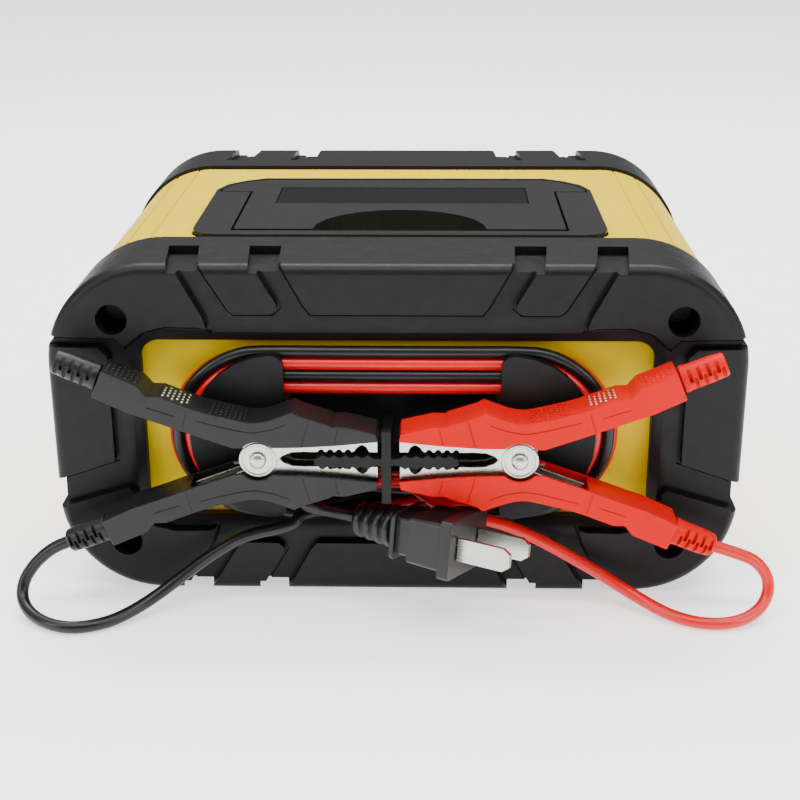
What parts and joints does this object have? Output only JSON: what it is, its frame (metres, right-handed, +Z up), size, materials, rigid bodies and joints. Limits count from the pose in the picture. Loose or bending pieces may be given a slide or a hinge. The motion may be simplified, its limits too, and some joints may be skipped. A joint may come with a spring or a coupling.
{
  "type": "car battery charger",
  "caption": "Portable car battery charger: yellow case between ribbed black bumpers, folding top handle, and clamp leads and a mains cord wound on rear cleats.",
  "frame": {"origin": "middle of the case's underside, on the floor it stands on", "axes": "+Z up, -Y out of the cable end with the clamps, +Y out of the control end, +X to the right seen from the cable end"},
  "size_m": [0.22, 0.205, 0.101],
  "materials": {
    "bumper_black": "satin fine-grained black plastic",
    "shell_yellow": "smooth satin yellow plastic",
    "handle_grey": "satin dark grey plastic",
    "inlay_black": "fine-grained black plastic",
    "clamp_black": "satin black plastic",
    "clamp_red": "satin bright red plastic",
    "plated_steel": "bright plated steel",
    "cord_black": "glossy black cable jacket",
    "cord_red": "glossy red cable jacket",
    "lens_dark": "dark polished lens",
    "board_green": "green circuit board",
    "aluminium": "milled aluminium",
    "core_grey": "dark grey moulded parts",
    "button_grey": "grey rubberised plastic"
  },
  "bodies": {
    "case": {"rear_bumper": "bumper_black", "front_bumper": "bumper_black", "case_bolt_left_lower": "plated_steel", "case_bolt_left_upper": "plated_steel", "case_bolt_right_lower": "plated_steel", "case_bolt_right_upper": "plated_steel", "upper_shell": "shell_yellow", "lower_shell": "shell_yellow", "cable_panel": "shell_yellow", "gland_black_lead": "bumper_black", "gland_mains": "bumper_black", "gland_red_lead": "bumper_black", "cleat_left": "bumper_black", "cleat_right": "bumper_black", "parking_bar": "bumper_black", "black_lead_winding": "cord_black", "red_lead_winding": "cord_red", "mains_cord_winding": "cord_black", "red_lead_inner_turns": "cord_red", "black_lead_tail": "cord_black", "red_lead_tail": "cord_red", "mains_cord_tail": "cord_black", "plug_body": "cord_black", "plug_strain_relief": "cord_black", "plug_blade_near": "plated_steel", "plug_blade_far": "plated_steel", "handle_tray": "handle_grey", "handle_pin_left": "plated_steel", "handle_pin_right": "plated_steel", "control_panel": "inlay_black", "display_lens": "lens_dark", "display_module": "core_grey", "control_board": "board_green", "main_board": "board_green", "transformer": "core_grey", "heat_sink": "aluminium", "smoothing_capacitor": "inlay_black", "fan_frame": "inlay_black", "black_clamp_lower_lever": "clamp_black", "black_clamp_lower_boot": "clamp_black", "black_clamp_lower_jaw": "plated_steel", "black_clamp_spring": "plated_steel", "black_clamp_rivet": "plated_steel", "red_clamp_lower_lever": "clamp_red", "red_clamp_lower_boot": "clamp_red", "red_clamp_lower_jaw": "plated_steel", "red_clamp_spring": "plated_steel", "red_clamp_rivet": "plated_steel"},
    "handle_body": {"handle": "handle_grey", "handle_inlay": "inlay_black"},
    "black_clamp_top": {"black_clamp_upper_lever": "clamp_black", "black_clamp_upper_jaw": "plated_steel", "black_clamp_upper_boot": "clamp_black"},
    "red_clamp_top": {"red_clamp_upper_lever": "clamp_red", "red_clamp_upper_jaw": "plated_steel", "red_clamp_upper_boot": "clamp_red"},
    "mode_button": {"button_mode": "button_grey"},
    "current_button": {"button_current": "button_grey"},
    "start_button": {"button_start": "button_grey"},
    "fan": {"fan_rotor": "inlay_black"}
  },
  "joints": [
    {"name": "handle_hinge", "type": "hinge", "parent": "case", "child": "handle_body", "pos_m": [0, -0.0385, 0.097], "axis": [1, 0, 0], "range_deg": [0, 90]},
    {"name": "black_clamp_hinge", "type": "hinge", "parent": "case", "child": "black_clamp_top", "pos_m": [-0.0385, -0.0953, 0.0492], "axis": [0, -1, 0], "range_deg": [0, 25], "stiffness_Nm_per_rad": 0.8, "springref_deg": -28.65, "deforming": ["black_clamp_spring"]},
    {"name": "red_clamp_hinge", "type": "hinge", "parent": "case", "child": "red_clamp_top", "pos_m": [0.0347, -0.0953, 0.0492], "axis": [0, 1, 0], "range_deg": [0, 25], "stiffness_Nm_per_rad": 0.8, "springref_deg": -28.65, "deforming": ["red_clamp_spring"]},
    {"name": "mode_press", "type": "slide", "parent": "case", "child": "mode_button", "axis": [0, -1, 0], "range_m": [0, 0.0008], "stiffness_N_per_m": 300},
    {"name": "current_press", "type": "slide", "parent": "case", "child": "current_button", "axis": [0, -1, 0], "range_m": [0, 0.0008], "stiffness_N_per_m": 300},
    {"name": "start_press", "type": "slide", "parent": "case", "child": "start_button", "axis": [0, -1, 0], "range_m": [0, 0.0008], "stiffness_N_per_m": 300},
    {"name": "fan_spin", "type": "hinge", "parent": "case", "child": "fan", "pos_m": [0.0675, 0, 0.028], "axis": [1, 0, 0], "continuous": true}
  ]
}
